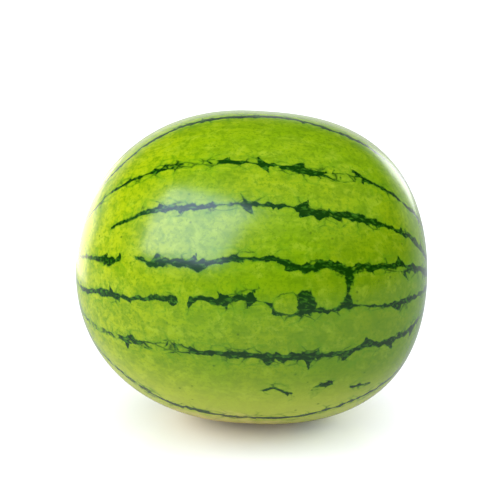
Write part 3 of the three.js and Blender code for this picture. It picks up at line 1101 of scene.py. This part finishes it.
@dataclass(frozen=True)
class Fruit:
    """The whole fruit.

    Attributes:
        lie: How it lies.
        pattern: Its stripes.
        rind: Its finish.
        rings: Points of its outline.
        steps: Steps round.
        lump: Greatest height of its gentle unevenness.
        waves: The low waves that make it uneven, as relative height, number round it, run along it and phase.
        shortened: Its length as a share of its outline's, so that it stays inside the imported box.
        scar: Radius of the low ring that the blossom left.
        scar_width: Half the width of that ring.
        scar_height: Height of that ring.
    """

    lie: Lie
    pattern: StripePattern = StripePattern()
    rind: WaxyRind = WaxyRind()
    rings: int = 331
    steps: int = 290
    lump: float = 0.5 * MM
    waves: tuple[tuple[float, float, float, float], ...] = (
        (1.0, 2, 1.0, 0.7), (1.0, 3, -2.2, -1.1), (0.6, 5, 3.1, 0.0), (0.5, 0, 4.3, 2.57),
    )
    shortened: float = 0.9996
    scar: float = 4.6 * MM
    scar_width: float = 1.4 * MM
    scar_height: float = 0.5 * MM

    def uneven(self, points: np.ndarray) -> np.ndarray:
        """Lowers the skin of the straight fruit a little here and there, as nothing grows quite round.

        Args:
            points: One row of X, Y and Z for each point.

        Returns:
            The same rows, moved.
        """
        angle = np.arctan2(points[:, 2], -points[:, 1])
        place = points[:, 0] / (self.lie.growth.length / 2)
        swell = sum(
            height * np.sin(round_it * angle + along * place + phase)
            for height, round_it, along, phase in self.waves
        )
        greatest = sum(height for height, *_ in self.waves)
        lowered = self.lump * (swell / greatest - 1) / 2
        share = 1 + lowered / (self.lie.growth.girth / 2)
        off_ring = (np.hypot(points[:, 1], points[:, 2]) - self.scar) / self.scar_width
        raised = np.where(points[:, 0] > 0, self.scar_height * np.exp(-(off_ring**2)), 0)
        x = points[:, 0] * self.shortened + raised
        return np.stack([x, points[:, 1] * share, points[:, 2] * share], axis=1)

    def build(self) -> bpy.types.Object:
        """Builds the fruit.

        Returns:
            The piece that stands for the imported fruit.
        """
        solid = turned(self.lie.growth.outline(self.rings), self.steps)
        mesh = bpy.data.meshes.new("watermelon")
        solid.to_mesh(mesh)
        solid.free()
        grown = places_of(mesh)
        angle = np.degrees(np.arctan2(grown[:, 2], -grown[:, 1]))
        radius = np.hypot(grown[:, 1], grown[:, 2])
        keep_layer(mesh, Layer.GROWN, grown)
        for layer, rows in self.pattern.measured(grown[:, 0] / MM, angle, radius / MM).items():
            keep_layer(mesh, layer, rows)
        laid = self.lie.laid(self.uneven(grown))
        piece = shown("watermelon", mesh, laid, self.rind.material())
        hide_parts("watermelon_body")
        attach(piece, BODY)
        return piece


@dataclass(frozen=True)
class StalkStub:
    """The short dry stub of the stalk.

    Attributes:
        lie: How the fruit that it stands on lies.
        finish: Its finish.
        length: From the floor of the dimple to the cut.
        foot: Its radius where it spreads onto the fruit.
        waist: Its least radius.
        cut: Its radius at the cut.
        ribs: Number of its ribs.
        rib: Their height, as a share of the radius.
        hollow: How far the middle of the cut is sunk.
        lip: How far the rounded edge of the cut reaches down its side.
        side: How far the side reaches from there, as a share of the length.
        side_steps: Number of steps down the side.
        tear: How unevenly the cut's edge is torn.
        torn: How far from the cut it is torn.
        seam: Clearance between its foot and the fruit.
        steps: Steps round.
    """

    lie: Lie
    finish: DryStalkFibre = DryStalkFibre()
    length: float = 7.5 * MM
    foot: float = 6 * MM
    waist: float = 3.4 * MM
    cut: float = 3.9 * MM
    ribs: int = 5
    rib: float = 0.07
    hollow: float = 1.1 * MM
    lip: float = 0.25 * MM
    side: float = 0.83
    side_steps: int = 16
    tear: float = 0.3 * MM
    torn: float = 1.5 * MM
    seam: float = 0.05 * MM
    steps: int = 120

    def outline(self) -> list[Vector]:
        """Works out its outline.

        Returns:
            Points from the middle of its hollow cut round to the middle of its foot.
        """
        growth = self.lie.growth
        points = []
        for share in (0.0, 0.2, 0.4, 0.6, 0.8, 0.93):
            sunk = self.hollow * (1 - share**2)
            points.append(Vector((self.tip + sunk, 0, self.cut * share)))
        for share in np.linspace(0, 1, self.side_steps + 1):
            waisted = (self.waist - self.cut) * math.sin(share * math.pi)
            radius = self.cut + waisted + (self.foot - self.cut) * share**4
            points.append(Vector((self.tip + self.lip + share * self.side * self.length, 0, radius)))
        for share in (1.0, 0.66, 0.33, 0.0):
            radius = self.foot * share
            place = float(growth.skin(growth.stalk_half, np.array([radius]))[0]) - self.seam
            points.append(Vector((place, 0, radius)))
        return points

    @property
    def tip(self) -> float:
        """Place of the cut along the straight fruit."""
        growth = self.lie.growth
        return float(growth.skin(growth.stalk_half, np.zeros(1))[0]) - self.length

    def weathered(self, points: np.ndarray) -> np.ndarray:
        """Raises ribs and finer ridges along the stub, and tears its cut.

        Args:
            points: One row of X, Y and Z for each point of the smooth stub.

        Returns:
            The same rows, moved.
        """
        angle = np.arctan2(points[:, 2], points[:, 1])
        radius = np.hypot(points[:, 1], points[:, 2])
        rise = np.clip((self.tip + 0.8 * self.length - points[:, 0]) / (0.5 * self.length), 0, 1)
        ridges = 0.025 * np.cos(13 * angle + 0.9) + 0.02 * np.cos(22 * angle)
        share = 1 + rise * (self.rib * np.cos(self.ribs * angle) + ridges)
        near_cut = np.clip(1 - (points[:, 0] - self.tip) / self.torn, 0, 1) * radius / self.cut
        uneven = 1 + np.sin(7 * angle + 0.4) * np.cos(4 * angle + 2.0)
        x = points[:, 0] + self.tear * near_cut * uneven
        return np.stack([x, points[:, 1] * share, points[:, 2] * share], axis=1)

    def build(self) -> bpy.types.Object:
        """Builds the stub.

        Returns:
            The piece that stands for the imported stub.
        """
        solid = turned(self.outline(), self.steps)
        mesh = bpy.data.meshes.new("dry_stalk_stub")
        solid.to_mesh(mesh)
        solid.free()
        grown = places_of(mesh)
        keep_layer(mesh, Layer.GROWN, grown)
        laid = self.lie.laid(self.weathered(grown))
        piece = shown("dry_stalk_stub", mesh, laid, self.finish.material())
        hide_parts("stalk_stub")
        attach(piece, BODY)
        return piece


class Rays(Enum):
    """Which rays meet a light, as whether diffuse and whether glossy rays do."""

    DIFFUSE = (True, False)
    GLOSSY = (False, True)


class TableTop(Enum):
    """What the table top takes of a light."""

    TAKES_NONE = "EXCLUDE"
    TAKES_ALL = "INCLUDE"


@dataclass(frozen=True)
class Panel:
    """A soft light panel that faces the fruit.

    Attributes:
        name: The light's name.
        rays: Which rays meet it.
        azimuth: Degrees to the right of the camera's side, seen from above.
        elevation: Degrees above the fruit's middle.
        distance: Metres from the fruit's middle.
        width: Metres across.
        height: Metres up and down.
        radiance: How bright its face is, where 1 is the white of the render.
        colour: Its colour.
    """

    name: str
    rays: Rays
    azimuth: float
    elevation: float
    distance: float
    width: float
    height: float
    radiance: float
    colour: str = "#ffffff"

    def build(self, middle: Vector) -> bpy.types.Object:
        """Builds the panel.

        Args:
            middle: The fruit's middle, which it faces.

        Returns:
            The light.
        """
        a, e = math.radians(self.azimuth), math.radians(self.elevation)
        away = Vector((math.sin(a) * math.cos(e), -math.cos(a) * math.cos(e), math.sin(e)))
        light = bpy.data.lights.new(self.name, "AREA")
        light.shape = "RECTANGLE"
        light.size, light.size_y = self.width, self.height
        light.energy = self.radiance * math.pi * self.width * self.height
        light.color = linear(self.colour)[:3]
        holder = bpy.data.objects.new(self.name, light)
        holder.location = middle + away * self.distance
        holder.rotation_euler = (-away).to_track_quat("-Z", "Y").to_euler()
        holder.visible_diffuse, holder.visible_glossy = self.rays.value
        holder.visible_camera = False
        bpy.context.scene.collection.objects.link(holder)
        return holder


FRUIT_LIGHTS = (
    Panel("window", Rays.GLOSSY, azimuth=-37, elevation=42, distance=1.1, width=1.0, height=0.95,
          radiance=11.5, colour="#c6cbff"),
    Panel("key_light", Rays.DIFFUSE, azimuth=-50, elevation=34, distance=1.1, width=1.0, height=0.9,
          radiance=5.6),
    Panel("left_fill", Rays.DIFFUSE, azimuth=-105, elevation=4, distance=1.2, width=0.8, height=0.8,
          radiance=6.6, colour=WARM_WHITE),
    Panel("left_card", Rays.GLOSSY, azimuth=-132, elevation=-2, distance=0.45, width=0.34, height=0.2,
          radiance=3.2, colour="#fff1cf"),
    Panel("right_rim", Rays.GLOSSY, azimuth=148, elevation=7, distance=1.3, width=0.35, height=0.45,
          radiance=3.0),
    Panel("right_fill", Rays.DIFFUSE, azimuth=84, elevation=2, distance=1.2, width=0.8, height=0.6,
          radiance=2.0, colour=WARM_WHITE),
    Panel("top_light", Rays.DIFFUSE, azimuth=75, elevation=70, distance=2.0, width=3.0, height=3.0,
          radiance=2.1),
)
TABLE_LIGHTS = tuple(
    Panel(name, Rays.DIFFUSE, azimuth, elevation=24, distance=1.5, width=0.9, height=0.7,
          radiance=6.5, colour=COOL_WHITE)
    for name, azimuth in (("left_wash", -90), ("right_wash", 90))
)


def share_light(light: bpy.types.Object, floor: bpy.types.Object, table_top: TableTop) -> None:
    """Keeps a light from the table top, where it would cast a long shadow, or for the table top alone.

    Args:
        light: The light.
        floor: The table top.
        table_top: What it takes of the light. All else takes the light only if the table top doesn't.
    """
    receivers = bpy.data.collections.new(light.name + "_receivers")
    receivers.objects.link(floor)
    receivers.collection_objects[0].light_linking.link_state = table_top.value
    light.light_linking.receiver_collection = receivers


@dataclass(frozen=True)
class Studio:
    """A white table under soft light, and the camera.

    Attributes:
        low: Lowest corner of the fruit.
        high: Highest corner of the fruit.
        floor_size: Side of the square table top.
        floor_gap: How far it lies below the fruit, so that the two never share a surface.
        floor_colour: Its colour.
        floor_mirrored: Its colour where the wax mirrors it, which keeps the fruit's underside from glaring.
        floor_roughness: Its roughness.
        floor_specular: How much it mirrors.
        soft_light: Brightness of the surroundings.
        wash_light: Brightness of the wide light on the table top.
        wash_angle: How wide that light is.
        elevation: How high the camera stands, seen from the fruit's middle.
        distance: How far it stands from there.
        lens: Its focal length, in mm.
        lift: How far above the fruit's middle it aims.
    """

    low: Vector
    high: Vector
    floor_size: float = 12.0
    floor_gap: float = 0.1 * MM
    floor_colour: str = "#f8f7f3"
    floor_mirrored: str = "#b4b4b4"
    floor_roughness: float = 0.18
    floor_specular: float = 0.35
    soft_light: float = 0.28
    wash_light: float = 1.5
    wash_angle: float = math.radians(170)
    elevation: float = math.radians(18)
    distance: float = 1.2
    lens: float = 117.4
    lift: float = 11.0 * MM

    def build(self) -> None:
        """Builds the table, the lights and the camera."""
        middle = (self.low + self.high) / 2
        floor = self.floor()
        self.world()
        for panel in FRUIT_LIGHTS:
            share_light(panel.build(middle), floor, TableTop.TAKES_NONE)
        for panel in TABLE_LIGHTS:
            share_light(panel.build(middle), floor, TableTop.TAKES_ALL)
        self.wash(floor)
        self.camera(middle)

    def floor(self) -> bpy.types.Object:
        """A plain white table top, glossy enough for a faint reflection.

        Returns:
            The table top.
        """
        bm = bmesh.new()
        bmesh.ops.create_grid(bm, x_segments=1, y_segments=1, size=self.floor_size / 2)
        mesh = bpy.data.meshes.new("table_top")
        bm.to_mesh(mesh)
        bm.free()
        floor = bpy.data.objects.new("table_top", mesh)
        floor.location = (0, 0, self.low.z - self.floor_gap)
        material, tree = new_material("white_table_top")
        glossy = add_node(tree, "LightPath", output="Is Glossy Ray")
        inputs = {0: glossy, 6: linear(self.floor_colour), 7: linear(self.floor_mirrored)}
        colour = add_node(tree, "Mix", inputs, 2, data_type="RGBA")
        inputs = {
            "Base Color": colour,
            "Roughness": self.floor_roughness,
            "Specular IOR Level": self.floor_specular,
        }
        add_node(tree, "OutputMaterial", {"Surface": add_node(tree, "BsdfPrincipled", inputs)})
        mesh.materials.append(material)
        bpy.context.scene.collection.objects.link(floor)
        return floor

    def wash(self, floor: bpy.types.Object) -> None:
        """A wide even light from overhead that only the table top takes, which keeps the shadow close.

        Args:
            floor: The table top.
        """
        light = bpy.data.lights.new("table_wash", "SUN")
        light.energy = self.wash_light * math.pi
        light.angle = self.wash_angle
        light.color = linear(COOL_WHITE)[:3]
        holder = bpy.data.objects.new("table_wash", light)
        holder.visible_glossy = False
        bpy.context.scene.collection.objects.link(holder)
        share_light(holder, floor, TableTop.TAKES_ALL)

    def world(self) -> None:
        """White surroundings: dim for soft light, with a lit backdrop low behind the fruit to be mirrored."""
        world = bpy.data.worlds.new("white_studio")
        world.use_nodes = True
        tree = world.node_tree
        tree.nodes.clear()
        add = partial(add_node, tree)
        direction = add("SeparateXYZ", {0: add("TexCoord", output="Generated")}).node.outputs
        behind = add("MapRange", {0: direction[1], 1: 0.2, 2: 0.7, 4: 1.2}, interpolation_type="SMOOTHSTEP")
        low = add("MapRange", {0: direction[2], 1: 0.45, 2: 0.12, 3: 0.04}, interpolation_type="SMOOTHSTEP")
        backdrop = add("Math", {0: behind, 1: low}, operation="MULTIPLY")
        rays = add("LightPath").node.outputs
        soft = add("Mix", {0: rays["Is Glossy Ray"], 2: self.soft_light, 3: backdrop})
        seen = add("Math", {0: rays["Is Camera Ray"], 1: soft}, operation="MAXIMUM")
        add("OutputWorld", {"Surface": add("Background", {"Color": (1, 1, 1, 1), "Strength": seen})})
        bpy.context.scene.world = world

    def camera(self, middle: Vector) -> None:
        """The camera, a little above the fruit's middle and straight in front.

        Args:
            middle: The fruit's middle.
        """
        data = bpy.data.cameras.new("camera")
        data.lens = self.lens
        holder = bpy.data.objects.new("camera", data)
        away = Vector((0, -math.cos(self.elevation), math.sin(self.elevation)))
        up = Vector((0, math.sin(self.elevation), math.cos(self.elevation)))
        holder.location = middle + up * self.lift + away * self.distance
        holder.rotation_euler = (-away).to_track_quat("-Z", "Y").to_euler()
        bpy.context.scene.collection.objects.link(holder)
        bpy.context.scene.camera = holder
        bpy.context.scene.view_settings.view_transform = "Standard"


def set_down(low: Vector, high: Vector) -> Lie:
    """Finds how the fruit lies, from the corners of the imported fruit.

    Args:
        low: Its lowest corner.
        high: Its highest corner.

    Returns:
        The lie that carries the straight fruit into that box.
    """
    free = Lie(Growth())
    points = turned(free.growth.outline(rings=81), steps=90)
    laid = free.laid(np.array([v.co for v in points.verts]))
    points.free()
    middle = (laid.min(axis=0) + laid.max(axis=0)) / 2
    rest = (
        (low.x + high.x) / 2 - middle[0],
        (low.y + high.y) / 2 - middle[1],
        high.z - laid[:, 2].max(),
    )
    return Lie(free.growth, rest=rest, ground=low.z)


def main() -> None:
    """Builds the fruit, its stub and the studio, and reports each piece."""
    logging.basicConfig(level=logging.INFO, format="%(name)s: %(message)s")
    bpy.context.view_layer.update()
    low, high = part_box("watermelon_body")
    lie = set_down(low, high)
    for piece in (Fruit(lie).build(), StalkStub(lie).build()):
        log.info("%s: %d faces", piece.name, len(piece.data.polygons))
    Studio(low, high).build()


if __name__ == "__main__":
    main()
